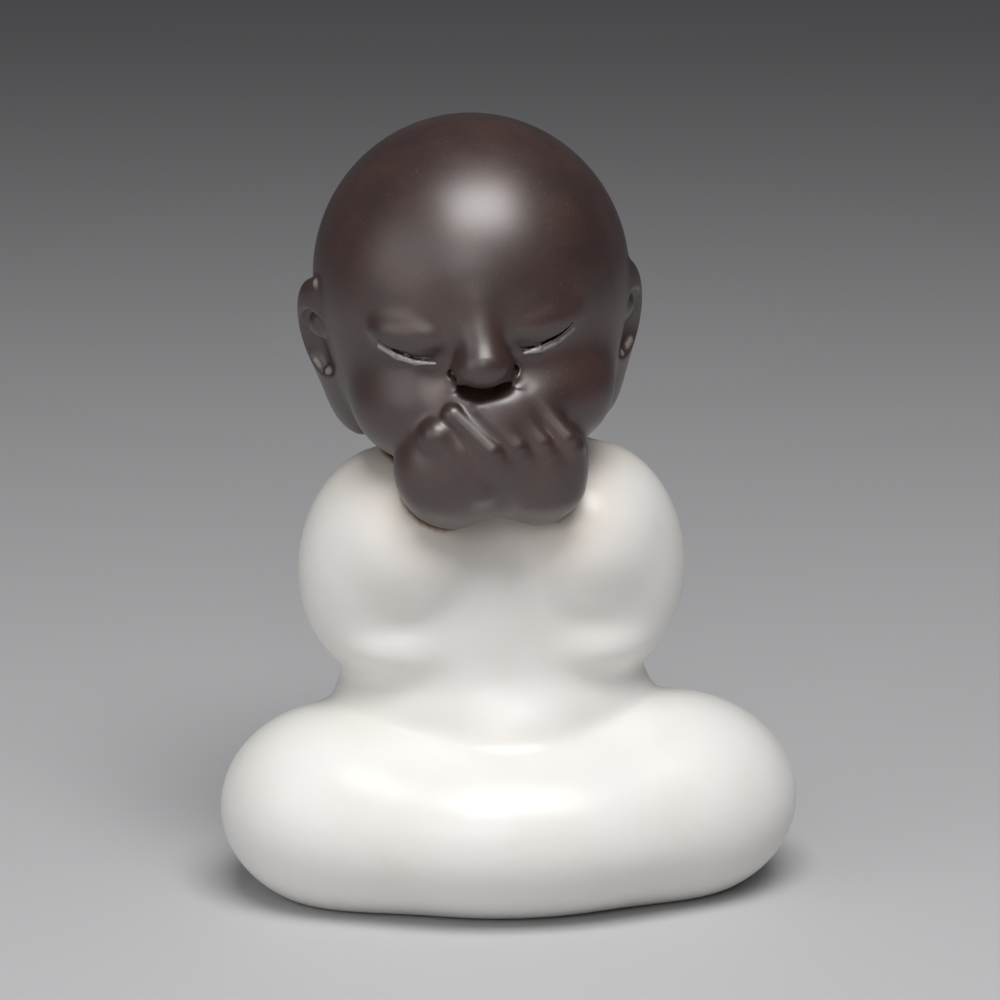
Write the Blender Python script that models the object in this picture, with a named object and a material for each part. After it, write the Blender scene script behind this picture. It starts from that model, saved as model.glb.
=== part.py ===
"""Baby monk figurine of fired clay: a bare dark head with both hands over the mouth, set in a white glazed robe.

The figurine stands on z = 0 and faces -Y, and its own left side is at +X. Its soft forms are fields: a field holds
the distance to a surface at every point of space, negative inside. Plain forms are joined or cut with a soft blend,
as clay is, and each piece is the skin round its blend. Forms are laid out in parts of their piece's height.
"""

import math

import bpy
from mathutils import Euler, Matrix, Vector

# Driving sizes, in metres: each piece's own height, and the seam left open between the two
HEAD_HEIGHT = 0.0318
ROBE_HEIGHT = 0.0388
SEAM = 0.0003

# The forms are laid out in parts: this many make up the piece's height, and each is 1 mm at the real size
HEAD_PARTS = 31.8
ROBE_PARTS = 38.8

# How the head sits: its middle in parts of the robe, and its bow, lean and turn in degrees
HEAD_MIDDLE = (-1.7, 0.5, 51.3)
HEAD_BOW = 14.0
HEAD_LEAN = -4.0
HEAD_TURN = -2.5

# Where the eyes and ears sit unevenly, in parts: the eyes' middle, how far the left eye is raised and the right one
# lowered, and how far out and up each ear is, with the figure's right ear at -1
EYES_MIDDLE = -0.47
EYE_LIFT = 0.12
EAR_PLACES = {-1: (-0.4, 0.4), 1: (-0.9, -0.1)}

# How finely each skin is made: cells in the piece's height, and the share of the skin's faces that is kept
HEAD_CELLS = 76
ROBE_CELLS = 65
HEAD_KEPT = 0.115
ROBE_KEPT = 0.095

CLAY_COLOUR = (0.052, 0.030, 0.026, 1.0)
GLAZE_COLOUR = (0.83, 0.81, 0.77, 1.0)


class Bench:
    """The node tree that skins one piece, and how far the forms in it reach."""

    def __init__(self, name):
        self.tree = bpy.data.node_groups.new(name, "GeometryNodeTree")
        self.tree.interface.new_socket("Skin", in_out="OUTPUT", socket_type="NodeSocketGeometry")
        self.low = Vector((math.inf,) * 3)
        self.high = Vector((-math.inf,) * 3)

    def node(self, kind, *inputs, **settings):
        """Adds a node, sets it up, feeds its inputs in order and returns its outputs."""
        node = self.tree.nodes.new(kind)
        for name, value in settings.items():
            setattr(node, name, value)
        for slot, value in zip(node.inputs, inputs):
            if isinstance(value, bpy.types.NodeSocket):
                self.tree.links.new(value, slot)
            else:
                slot.default_value = value
        return node.outputs

    def math(self, operation, *inputs):
        return self.node("ShaderNodeMath", *inputs, operation=operation)[0]

    def vector(self, operation, *inputs):
        outputs = self.node("ShaderNodeVectorMath", *inputs, operation=operation)
        return outputs["Value" if operation in ("LENGTH", "DOT_PRODUCT") else "Vector"]

    def reach(self, point, radius):
        """Widens the box that is skinned so that it holds a ball of this radius round the point."""
        self.low = Vector(map(min, self.low, point - Vector((radius,) * 3)))
        self.high = Vector(map(max, self.high, point + Vector((radius,) * 3)))

    def skin(self, clay, grain):
        """Ends the tree with a mesh round the clay, on a grid of the given grain."""
        low = self.low - Vector((grain,) * 3)
        counts = [math.ceil((top - bottom) / grain) + 2 for bottom, top in zip(low, self.high)]
        high = low + Vector(counts) * grain
        density = self.math("MULTIPLY", clay.field, -1.0 / grain)
        cells = [count + 1 for count in counts]
        volume = self.node("GeometryNodeVolumeCube", density, -1.0, low, high, *cells)[0]
        mesh = self.node("GeometryNodeVolumeToMesh", volume, resolution_mode="GRID")
        mesh[0].node.inputs["Threshold"].default_value = 0.0
        self.node("NodeGroupOutput", mesh[0])


class Clay:
    """A lump of clay: a field on a bench."""

    def __init__(self, bench, field):
        self.bench = bench
        self.field = field

    def join(self, other, blend=0.0):
        """This lump and the other as one, with a soft fillet where they meet."""
        return Clay(self.bench, self.bench.math("SMOOTH_MIN", self.field, other.field, blend))

    def cut(self, other, blend=0.0):
        """This lump with the other one's shape pressed out of it."""
        pressed = self.bench.math("MULTIPLY", other.field, -1.0)
        return Clay(self.bench, self.bench.math("SMOOTH_MAX", self.field, pressed, blend))

    def swell(self, amount):
        """This lump, thicker all round by the amount."""
        return Clay(self.bench, self.bench.math("SUBTRACT", self.field, amount))


class Frame:
    """Where forms are placed: an origin and a turn on a bench, and the length of one part."""

    CENTRE_GUARD = 1e-4  # keeps a ball's own centre clearly inside it

    def __init__(self, bench, part, placement=None):
        self.bench = bench
        self.part = part
        self.placement = placement or Matrix.Identity(4)
        place = self.placement.to_translation()
        turn = self.placement.to_euler()
        here = bench.node("GeometryNodeInputPosition")[0]
        self.here = self.local(here, place, turn)

    def local(self, here, place, turn):
        """The position as seen from a place and a turn."""
        moved = self.bench.vector("SUBTRACT", here, place)
        if not any(turn):
            return moved
        rotate = dict(rotation_type="EULER_XYZ", invert=True)
        outputs = self.bench.node("ShaderNodeVectorRotate", moved, **rotate)
        outputs[0].node.inputs["Rotation"].default_value = turn
        return outputs[0]

    def within(self, at, turn):
        """A frame inside this one, moved in parts and turned in degrees."""
        turn = Euler([math.radians(angle) for angle in turn])
        inner = Matrix.LocRotScale(Vector(at) * self.part, turn, None)
        return Frame(self.bench, self.part, self.placement @ inner)

    def ball(self, at, radii, turn=(0, 0, 0)):
        """An egg or ball with the given middle, three radii and turn in degrees."""
        bench = self.bench
        place = Vector(at) * self.part
        radii = Vector(radii) * self.part
        bench.reach(self.placement @ place, max(radii))
        here = self.local(self.here, place, [math.radians(angle) for angle in turn])
        once = bench.vector("DIVIDE", here, radii)
        twice = bench.vector("DIVIDE", once, radii)
        share = bench.math("ADD", bench.vector("LENGTH", once), self.CENTRE_GUARD)
        slope = bench.math("ADD", bench.vector("LENGTH", twice), self.CENTRE_GUARD / min(radii))
        depth = bench.math("SUBTRACT", share, 1.0)
        return Clay(bench, bench.math("DIVIDE", bench.math("MULTIPLY", share, depth), slope))

    def roll(self, start, end, radius, end_radius=None):
        """A roll with round ends between two points, which may taper."""
        bench = self.bench
        start = Vector(start) * self.part
        along = Vector(end) * self.part - start
        radius *= self.part
        taper = 0.0 if end_radius is None else end_radius * self.part - radius
        thickest = radius + max(taper, 0.0)
        bench.reach(self.placement @ start, thickest)
        bench.reach(self.placement @ (start + along), thickest)
        here = bench.vector("SUBTRACT", self.here, start)
        share = bench.math("DIVIDE", bench.vector("DOT_PRODUCT", here, along), along.length_squared)
        share = bench.node("ShaderNodeClamp", share)[0]
        nearest = bench.node("ShaderNodeVectorMath", along, operation="SCALE")
        bench.tree.links.new(share, nearest[0].node.inputs["Scale"])
        distance = bench.vector("LENGTH", bench.vector("SUBTRACT", here, nearest[0]))
        thickness = bench.math("MULTIPLY_ADD", share, taper, radius)
        return Clay(bench, bench.math("SUBTRACT", distance, thickness))


def head_clay(bench):
    """The head with its ears, and both hands over the mouth."""
    part = HEAD_HEIGHT / HEAD_PARTS
    middle = Vector(HEAD_MIDDLE) * ROBE_HEIGHT / ROBE_PARTS
    turn = Euler([math.radians(angle) for angle in (HEAD_BOW, HEAD_LEAN, HEAD_TURN)])
    head = Frame(bench, part, Matrix.LocRotScale(middle, turn, None))
    clay = skull(head)
    for side in (-1, 1):
        clay = eye(clay, head, side)
    clay = nose(clay, head)
    for side in (-1, 1):
        clay = ear(clay, head, side)
    clay = hands(clay, Frame(bench, part, Matrix.Translation(middle)))
    return under_nose(clay, head)


def skull(head):
    """The bald skull, the full cheeks, the jaw and the fullness beside the nose."""
    clay = head.ball((0, 0.5, 0), (12.9, 13.6, 13.1))
    clay = clay.join(head.ball((0, -2.6, -6.8), (10.6, 9.8, 9.0)), 4.2 * head.part)
    for side in (-1, 1):
        clay = clay.join(head.ball((side * 5.1, -8.3, -6.8), (5.1, 4.6, 4.2)), 4.2 * head.part)
        clay = clay.join(head.ball((side * 4.2, -9.6, -6.4), (4.0, 4.4, 3.9)), 2.5 * head.part)
    return clay


def eye(clay, head, side):
    """One closed eye: a hollow beside the nose, a soft lid and the curved slit below it."""
    part = head.part
    own = head.within((EYES_MIDDLE, 0, side * EYE_LIFT), (0, 0, 0))
    clay = clay.cut(own.ball((side * 2.9, -16.4, -1.2), (2.4, 3.4, 2.4)), 2.6 * part)
    clay = clay.join(own.ball((side * 5.4, -10.9, 0.55), (3.1, 1.5, 1.6), (0, 0, side * 27)), 1.4 * part)
    corners = [(side * x, y, z) for x, y, z in ((7.4, -11.1, -0.1), (5.0, -12.3, -1.0), (3.4, -12.8, -1.0))]
    for outer, inner in zip(corners, corners[1:]):
        clay = clay.cut(own.roll(outer, inner, 0.4), 0.15 * part)
    return clay


def nose(clay, head):
    """The short round nose with its wings."""
    part = head.part
    clay = clay.join(head.roll((-0.2, -11.2, 2.1), (-0.2, -13.8, -1.3), 1.3, 1.75), 2.4 * part)
    clay = clay.join(head.ball((-0.2, -13.6, -1.7), (2.05, 2.0, 1.5)), 1.2 * part)
    for side in (-1, 1):
        clay = clay.join(head.ball((side * 1.65 - 0.2, -12.9, -2.5), (0.85, 1.3, 0.8)), 0.9 * part)
    return clay


def under_nose(clay, head):
    """The clay with the nostrils and the hollow between the nose and the fingers."""
    clay = clay.cut(head.ball((-0.2, -14.0, -3.65), (2.2, 1.2, 0.45)), 0.8 * head.part)
    for side in (-1, 1):
        clay = clay.cut(head.ball((side * 1.3 - 0.2, -13.6, -3.4), (0.8, 1.3, 0.55)), 0.3 * head.part)
    return clay


def ear(clay, head, side):
    """One ear: a cupped flap with a rolled rim, a fold inside it, the ear hole and a long lobe."""
    part = head.part
    out, lift = EAR_PLACES[side]
    flap = head.within((side * (12.0 + out), -2.0, -4.1 + lift), (-5, side * 9, side * -38))
    form = flap.ball((0, 0, 0), (1.6, 3.7, 5.7))
    form = form.join(flap.ball((side * -0.4, 0.3, -5.4), (1.5, 2.8, 3.7)), 1.6 * part)
    form = form.cut(flap.ball((side * 2.0, 0.4, 0.4), (2.2, 2.7, 3.2)), 0.3 * part)
    form = form.join(flap.ball((side * 0.2, 0.4, 1.9), (1.0, 1.1, 1.2)), 0.4 * part)
    form = form.cut(flap.ball((side * 0.2, -0.3, -0.7), (1.4, 0.8, 1.1)), 0.3 * part)
    return clay.join(form, 0.7 * part)


def hands(clay, upright):
    """Both hands over the mouth, the left one on top, with the fingers side by side."""
    part = upright.part
    palms = upright.ball((0.7, -10.2, -11.5), (6.2, 4.0, 6.5))
    palms = palms.join(upright.ball((-3.0, -9.6, -13.6), (4.2, 4.3, 4.9)), 0.7 * part)
    palms = palms.join(upright.ball((4.2, -9.6, -13.3), (4.2, 4.3, 5.0)), 0.7 * part)
    for step in range(3):
        knuckle = (-4.6 + 1.7 * step, -11.2 - 0.7 * step, -11.1 - 0.3 * step)
        wrist = (-4.2 + 1.0 * step, -10.6, -15.0)
        palms = palms.join(upright.roll(knuckle, wrist, 1.3, 1.8), 1.4 * part)
    palms = palms.join(upright.roll((-3.9, -12.4, -10.5), (-1.2, -13.2, -13.2), 1.5, 1.3), 0.9 * part)
    for step in range(4):
        knuckle = (0.8 + 1.95 * step, -13.35 + 0.35 * step, -11.7 + 0.25 * step)
        wrist = (3.4 + 0.8 * step, -11.5 + 0.2 * step, -15.0)
        palms = palms.join(upright.roll(knuckle, wrist, 1.35, 2.0), 1.2 * part)
    for step in range(4):
        tip = (-3.2 + 2.1 * step, -12.6 + 0.05 * step, -8.9 + 0.45 * step)
        knuckle = (0.6 + 1.95 * step, -13.65 + 0.35 * step, -11.3 + 0.25 * step)
        palms = palms.join(upright.roll(tip, knuckle, 1.2, 1.35), 0.35 * part)
    palms = palms.cut(upright.roll((-0.2, -12.6, -19.0), (-0.2, -9.0, -19.2), 1.2), 1.4 * part)
    return clay.join(palms, 1.2 * part)


def robe_clay(bench):
    """The robe: the torso, the full sleeves and the crossed legs, seen as one smooth pebble."""
    robe = Frame(bench, ROBE_HEIGHT / ROBE_PARTS)
    part = robe.part
    trunk = robe.ball((0, 3.2, 24.0), (11.5, 10.2, 17.0))
    arms = trunk
    lobes = trunk
    for side in (-1, 1):
        sleeve = robe.ball((side * 9.3, 0.8, 28.0), (6.7, 7.6, 9.3), (0, side * -10, 0))
        forearm = robe.ball((side * 6.9, -2.6, 30.4), (6.2, 6.8, 6.6), (0, side * -8, 0))
        arms = arms.join(sleeve.join(forearm, 3.5 * part), 2.4 * part)
        lobes = lobes.join(robe.ball((side * 7.3, -1.6, 21.8), (5.7, 5.6, 3.3)), 3.4 * part)
    upper = arms.join(lobes, 2.4 * part)
    upper = upper.join(robe.ball((0.2, 1.2, 15.6), (13.4, 9.0, 5.6)), 4.0 * part)
    upper = upper.join(robe.ball((0.9, -3.3, 13.8), (6.4, 6.2, 4.5)), 3.6 * part)
    legs = robe.ball((1.3, -0.1, 6.9), (21.0, 15.7, 9.2))
    for side in (-1, 1):
        knee = robe.ball((side * 13.6 + 1.3, -1.2, 7.4), (10.5, 10.2, 8.5), (0, 0, side * 6))
        legs = legs.join(knee, 5.0 * part)
    return legs.join(upper, 2.3 * part)


def piece(name, colour, roughness):
    """An object that is still empty, with its own material."""
    material = bpy.data.materials.new(name)
    material.use_nodes = True
    shader = material.node_tree.nodes["Principled BSDF"]
    shader.inputs["Base Color"].default_value = colour
    shader.inputs["Roughness"].default_value = roughness
    mesh = bpy.data.meshes.new(name)
    mesh.materials.append(material)
    solid = bpy.data.objects.new(name, mesh)
    bpy.context.collection.objects.link(solid)
    return solid


def dress(solid, bench, clay, grain, kept):
    """Skins a piece from its clay and thins the skin's faces to the share that is kept."""
    bench.skin(clay, grain)
    solid.modifiers.new("Skin", "NODES").node_group = bench.tree
    thin = solid.modifiers.new("Thin", "DECIMATE")
    thin.ratio = kept


def level_foot(robe):
    """Cuts the robe flat where it stands."""
    bpy.ops.mesh.primitive_cube_add(size=2 * ROBE_HEIGHT, location=(0, 0, -ROBE_HEIGHT))
    floor = bpy.context.object
    floor.name = "floor"
    floor.display_type = "WIRE"
    floor.hide_render = True
    level = robe.modifiers.new("Level", "BOOLEAN")
    level.object = floor
    level.operation = "DIFFERENCE"
    level.solver = "EXACT"


def centre_over_origin(pieces):
    """Moves the pieces together so that the middle of their bounding box is over the origin."""
    depsgraph = bpy.context.evaluated_depsgraph_get()
    corners = [Vector(corner) for solid in pieces for corner in solid.evaluated_get(depsgraph).bound_box]
    for axis in (0, 1):
        values = [corner[axis] for corner in corners]
        for solid in pieces:
            solid.location[axis] = -(min(values) + max(values)) / 2


def main():
    for old in list(bpy.data.objects):
        bpy.data.objects.remove(old, do_unlink=True)

    bench = Bench("head_and_hands")
    head = piece("head_and_hands", CLAY_COLOUR, 0.42)
    dress(head, bench, head_clay(bench), HEAD_HEIGHT / HEAD_CELLS, HEAD_KEPT)

    bench = Bench("robe")
    robe = piece("robe", GLAZE_COLOUR, 0.3)
    clay = robe_clay(bench).cut(head_clay(bench).swell(SEAM))
    dress(robe, bench, clay, ROBE_HEIGHT / ROBE_CELLS, ROBE_KEPT)
    level_foot(robe)
    centre_over_origin([head, robe])


main()
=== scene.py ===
"""Baby monk figurine of fired clay, dressed for its picture.

A bare dark head with both hands over the mouth is set in a smooth white glazed robe. The soft forms are
fields: a field holds the distance to a surface at every point of space, negative inside. Plain balls and rolls
are joined and pressed into each other with soft blends, as clay is. Each piece is the skin round its blend,
drawn at a fine grain and then settled onto the field. Forms are laid out in parts of 1 mm. The figurine stands
on z = 0 and faces -Y, and its own left side is at +X.
"""

import logging
import math
from collections.abc import Sequence
from dataclasses import dataclass, field
from enum import Enum, IntEnum
from typing import Any, TypeAlias

import bpy
from mathutils import Euler, Matrix, Vector

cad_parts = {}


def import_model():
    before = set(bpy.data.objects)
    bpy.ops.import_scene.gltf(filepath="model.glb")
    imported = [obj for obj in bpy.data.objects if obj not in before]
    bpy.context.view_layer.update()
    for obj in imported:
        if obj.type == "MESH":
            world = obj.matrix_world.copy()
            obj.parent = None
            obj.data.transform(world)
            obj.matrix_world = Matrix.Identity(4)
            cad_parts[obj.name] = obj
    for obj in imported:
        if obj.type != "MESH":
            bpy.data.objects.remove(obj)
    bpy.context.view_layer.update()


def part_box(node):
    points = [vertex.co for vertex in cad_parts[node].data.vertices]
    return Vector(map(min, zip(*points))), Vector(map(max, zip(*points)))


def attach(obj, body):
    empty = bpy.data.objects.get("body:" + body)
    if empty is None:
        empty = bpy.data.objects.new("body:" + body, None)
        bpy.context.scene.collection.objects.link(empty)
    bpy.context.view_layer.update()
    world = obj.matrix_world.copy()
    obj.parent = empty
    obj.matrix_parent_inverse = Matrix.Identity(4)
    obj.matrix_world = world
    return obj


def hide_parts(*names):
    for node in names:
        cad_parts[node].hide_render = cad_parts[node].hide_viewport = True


log = logging.getLogger("baby_monk")

PART = 0.001  # metres in one part, which the forms are laid out in

Number: TypeAlias = "Wire | float"
Triple: TypeAlias = tuple[float, float, float]
Colour: TypeAlias = tuple[float, float, float, float]
Span: TypeAlias = tuple[float, float]


class Side(IntEnum):
    """The figure's own sides, as the sign of x."""

    RIGHT = -1
    LEFT = 1


class Slot(Enum):
    """The record's material slots."""

    BARE_CLAY = "bare_clay"
    WHITE_GLAZE = "white_glaze"


class Wire:
    """A socket that gives a value, on which ordinary arithmetic adds Math nodes."""

    def __init__(self, graph: "Graph", socket: bpy.types.NodeSocket) -> None:
        """Holds the socket and the graph that it belongs to."""
        self.graph = graph
        self.socket = socket

    def __add__(self, other: Number) -> "Wire":
        """This value plus the other."""
        return self.graph.math("ADD", self, other)

    __radd__ = __add__

    def __sub__(self, other: Number) -> "Wire":
        """This value less the other."""
        return self.graph.math("SUBTRACT", self, other)

    def __rsub__(self, other: Number) -> "Wire":
        """The other value less this one."""
        return self.graph.math("SUBTRACT", other, self)

    def __mul__(self, other: Number) -> "Wire":
        """This value times the other."""
        return self.graph.math("MULTIPLY", self, other)

    __rmul__ = __mul__

    def __truediv__(self, other: Number) -> "Wire":
        """This value over the other."""
        return self.graph.math("DIVIDE", self, other)

    def __neg__(self) -> "Wire":
        """This value with its sign turned."""
        return self.graph.math("MULTIPLY", self, -1.0)


class Graph:
    """A node tree that is written as expressions."""

    def __init__(self, tree: bpy.types.NodeTree) -> None:
        """Holds the tree."""
        self.tree = tree

    def node(
        self,
        kind: str,
        settings: dict[str, Any] | None = None,
        feeds: dict[int | str, Any] | None = None,
        out: int | str = 0,
    ) -> Wire:
        """Adds a node.

        Args:
            kind: the node's type.
            settings: its own settings, set first.
            feeds: a value or a wire for each input socket that is named or numbered.
            out: the output socket that is wanted.

        Returns:
            The wanted output as a wire.
        """
        node = self.tree.nodes.new(kind)
        for name, value in (settings or {}).items():
            setattr(node, name, value)
        for slot, value in (feeds or {}).items():
            if isinstance(value, Wire):
                self.tree.links.new(value.socket, node.inputs[slot])
            else:
                node.inputs[slot].default_value = value
        return Wire(self, node.outputs[out] if node.outputs else None)

    def math(self, operation: str, *values: Number) -> Wire:
        """Adds a Math node.

        Args:
            operation: what it does.
            values: its inputs in order.

        Returns:
            Its result.
        """
        return self.node("ShaderNodeMath", {"operation": operation}, dict(enumerate(values)))

    def vector(self, operation: str, *values: Any) -> Wire:
        """Adds a Vector Math node.

        Args:
            operation: what it does.
            values: its inputs in order.

        Returns:
            Its result, a number for a length or a dot product and a vector otherwise.
        """
        out = "Value" if operation in ("LENGTH", "DOT_PRODUCT") else "Vector"
        return self.node("ShaderNodeVectorMath", {"operation": operation}, dict(enumerate(values)), out)

    def scaled(self, vector: Any, factor: Number) -> Wire:
        """The vector times a number."""
        return self.node("ShaderNodeVectorMath", {"operation": "SCALE"}, {0: vector, "Scale": factor})


@dataclass(frozen=True)
class Ball:
    """A ball or egg: its middle and three radii in parts, and its turn in degrees."""

    at: Triple
    radii: Triple
    turn: Triple = (0.0, 0.0, 0.0)

    def on(self, side: Side) -> "Ball":
        """This ball on the given side of the figure."""
        turn = (self.turn[0], side * self.turn[1], side * self.turn[2])
        return Ball((side * self.at[0], self.at[1], self.at[2]), self.radii, turn)


@dataclass(frozen=True)
class Roll:
    """A roll with round ends: its two ends and the radius at each, in parts."""

    start: Triple
    end: Triple
    radius: float
    end_radius: float

    def on(self, side: Side) -> "Roll":
        """Mirrors the roll.

        Args:
            side: the side of the figure that it is wanted on.

        Returns:
            The roll on that side.
        """
        start = (side * self.start[0], *self.start[1:])
        end = (side * self.end[0], *self.end[1:])
        return Roll(start, end, self.radius, self.end_radius)


class Bench(Graph):
    """A group of nodes in which one lump of clay is shaped, and how far the forms in it reach."""

    def __init__(self, name: str) -> None:
        """Starts an empty group that gives the distance to the lump's surface."""
        super().__init__(bpy.data.node_groups.new(name, "GeometryNodeTree"))
        self.tree.interface.new_socket("Depth", in_out="OUTPUT", socket_type="NodeSocketFloat")
        self.low = Vector((math.inf,) * 3)
        self.high = Vector((-math.inf,) * 3)

    def reach(self, point: Vector, radius: float) -> None:
        """Widens the box that is skinned, so that it holds a ball round a point.

        Args:
            point: the ball's middle, in metres.
            radius: the ball's radius, in metres.
        """
        margin = Vector((radius,) * 3)
        self.low = Vector(map(min, self.low, point - margin))
        self.high = Vector(map(max, self.high, point + margin))

    def depth_in(self, graph: Graph) -> Wire:
        """The distance to the lump's surface, in another tree."""
        return graph.node("GeometryNodeGroup", {"node_tree": self.tree}, {}, "Depth")


class Work(Graph):
    """A geometry node tree that works once on a piece's mesh."""

    def __init__(self) -> None:
        """Starts an empty tree that takes a mesh and gives one."""
        super().__init__(bpy.data.node_groups.new("work", "GeometryNodeTree"))
        for way in ("INPUT", "OUTPUT"):
            self.tree.interface.new_socket("Mesh", in_out=way, socket_type="NodeSocketGeometry")

    def skin(self, bench: Bench, grain: float) -> None:
        """Ends the tree with a new mesh round a lump.

        Args:
            bench: the bench that the lump was shaped on.
            grain: the size of the grid's cells, in metres.
        """
        low = bench.low - Vector((2 * grain,) * 3)
        counts = [math.ceil((top - bottom) / grain) + 2 for bottom, top in zip(low, bench.high)]
        high = low + Vector(counts) * grain
        cells = {f"Resolution {axis}": count + 1 for axis, count in zip("XYZ", counts)}
        density = bench.depth_in(self) * (-1.0 / grain)
        feeds = {"Density": density, "Background": -1.0, "Min": low, "Max": high, **cells}
        volume = self.node("GeometryNodeVolumeCube", {}, feeds)
        settings = {"resolution_mode": "GRID"}
        mesh = self.node("GeometryNodeVolumeToMesh", settings, {"Volume": volume, "Threshold": 0.0})
        self.node("NodeGroupOutput", {}, {0: mesh})

    def settle(self, bench: Bench, passes: int) -> None:
        """Ends the tree by moving the mesh it is given onto a lump's surface.

        Args:
            bench: the bench that the lump was shaped on.
            passes: how many times each point is moved along its normal.
        """
        mesh = self.node("NodeGroupInput")
        step = self.scaled(self.node("GeometryNodeInputNormal"), -bench.depth_in(self))
        for _ in range(passes):
            mesh = self.node("GeometryNodeSetPosition", {}, {"Geometry": mesh, "Offset": step})
        self.node("NodeGroupOutput", {}, {0: mesh})

    def mark(self, bench: Bench, name: str) -> None:
        """Ends the tree by keeping each point's distance to a lump.

        Args:
            bench: the bench that the lump was shaped on.
            name: the attribute that the distance is kept under.
        """
        mesh = self.node("NodeGroupInput")
        settings = {"data_type": "FLOAT", "domain": "POINT"}
        feeds = {"Geometry": mesh, "Name": name, "Value": bench.depth_in(self)}
        kept = self.node("GeometryNodeStoreNamedAttribute", settings, feeds)
        self.node("NodeGroupOutput", {}, {0: kept})

    def do(self, solid: bpy.types.Object) -> None:
        """Passes an object through the tree, which is then used up.

        Args:
            solid: the mesh object, which is the active one.
        """
        modifier = solid.modifiers.new("Work", "NODES")
        modifier.node_group = self.tree
        bpy.ops.object.modifier_apply(modifier=modifier.name)
        bpy.data.node_groups.remove(self.tree)


class Lump:
    """A lump of clay: a field on a bench. Its blends and swellings are in parts."""

    def __init__(self, bench: Bench, depth: Wire) -> None:
        """Holds the distance to the lump's surface."""
        self.bench = bench
        self.depth = depth

    def join(self, other: "Lump", blend: float = 0.0) -> "Lump":
        """This lump and the other as one, with a soft fillet where they meet."""
        return Lump(self.bench, self.bench.math("SMOOTH_MIN", self.depth, other.depth, blend * PART))

    def cut(self, other: "Lump", blend: float = 0.0) -> "Lump":
        """This lump with the other one's shape pressed out of it."""
        return Lump(self.bench, self.bench.math("SMOOTH_MAX", self.depth, -other.depth, blend * PART))

    def swell(self, amount: float) -> "Lump":
        """This lump, thicker all round by the amount."""
        return Lump(self.bench, self.depth - amount * PART)


class Space:
    """Where forms are placed: an origin and a turn on a bench."""

    CENTRE_GUARD = 1e-4  # keeps a ball's own centre clearly inside it

    def __init__(self, bench: Bench, at: Triple = (0, 0, 0), turn: Triple = (0, 0, 0)) -> None:
        """Places the space on its bench, with the origin in parts and the turn in degrees."""
        self.bench = bench
        self.placement = self.placed(at, turn)
        self.here = self.seen_from(bench.node("GeometryNodeInputPosition"), self.placement)

    @staticmethod
    def placed(at: Triple, turn: Triple) -> Matrix:
        """The matrix of a place in parts and a turn in degrees."""
        return Matrix.LocRotScale(Vector(at) * PART, Euler(map(math.radians, turn)), None)

    def seen_from(self, here: Wire, placement: Matrix) -> Wire:
        """The position as seen from a place and a turn.

        Args:
            here: the position.
            placement: the place and turn.

        Returns:
            The position in the coordinates of that place.
        """
        moved = self.bench.vector("SUBTRACT", here, placement.to_translation())
        turn = placement.to_euler()
        if not any(turn):
            return moved
        settings = {"rotation_type": "EULER_XYZ", "invert": True}
        return self.bench.node("ShaderNodeVectorRotate", settings, {"Vector": moved, "Rotation": turn})

    def within(self, at: Triple, turn: Triple) -> "Space":
        """Places a space inside this one.

        Args:
            at: how far it is moved, in parts.
            turn: how far it is turned, in degrees.

        Returns:
            The inner space.
        """
        inner = Space(self.bench)
        inner.placement = self.placement @ self.placed(at, turn)
        inner.here = self.seen_from(self.bench.node("GeometryNodeInputPosition"), inner.placement)
        return inner

    def ball(self, form: Ball) -> Lump:
        """A ball or egg.

        Args:
            form: its middle, radii and turn.

        Returns:
            The lump.
        """
        bench = self.bench
        place = self.placed(form.at, form.turn)
        radii = Vector(form.radii) * PART
        bench.reach((self.placement @ place).to_translation(), max(radii))
        here = self.seen_from(self.here, place)
        once = bench.vector("DIVIDE", here, radii)
        twice = bench.vector("DIVIDE", once, radii)
        share = bench.vector("LENGTH", once) + self.CENTRE_GUARD
        slope = bench.vector("LENGTH", twice) + self.CENTRE_GUARD / min(radii)
        return Lump(bench, share * (share - 1.0) / slope)

    def roll(self, form: Roll) -> Lump:
        """A roll with round ends, which may taper.

        Args:
            form: its ends and radii.

        Returns:
            The lump.
        """
        bench = self.bench
        start = Vector(form.start) * PART
        along = Vector(form.end) * PART - start
        radius = form.radius * PART
        taper = form.end_radius * PART - radius
        for point in (start, start + along):
            bench.reach(self.placement @ point, radius + max(taper, 0.0))
        here = bench.vector("SUBTRACT", self.here, start)
        share = bench.vector("DOT_PRODUCT", here, along) / along.length_squared
        share = bench.node("ShaderNodeClamp", {}, {"Value": share})
        beside = bench.vector("SUBTRACT", here, bench.scaled(along, share))
        return Lump(bench, bench.vector("LENGTH", beside) - (share * taper + radius))


@dataclass(frozen=True)
class Patch:
    """A round patch that is drawn finer: its middle and radius in parts, and how often it is halved."""

    at: Triple
    radius: float
    halvings: int = 1


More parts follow.
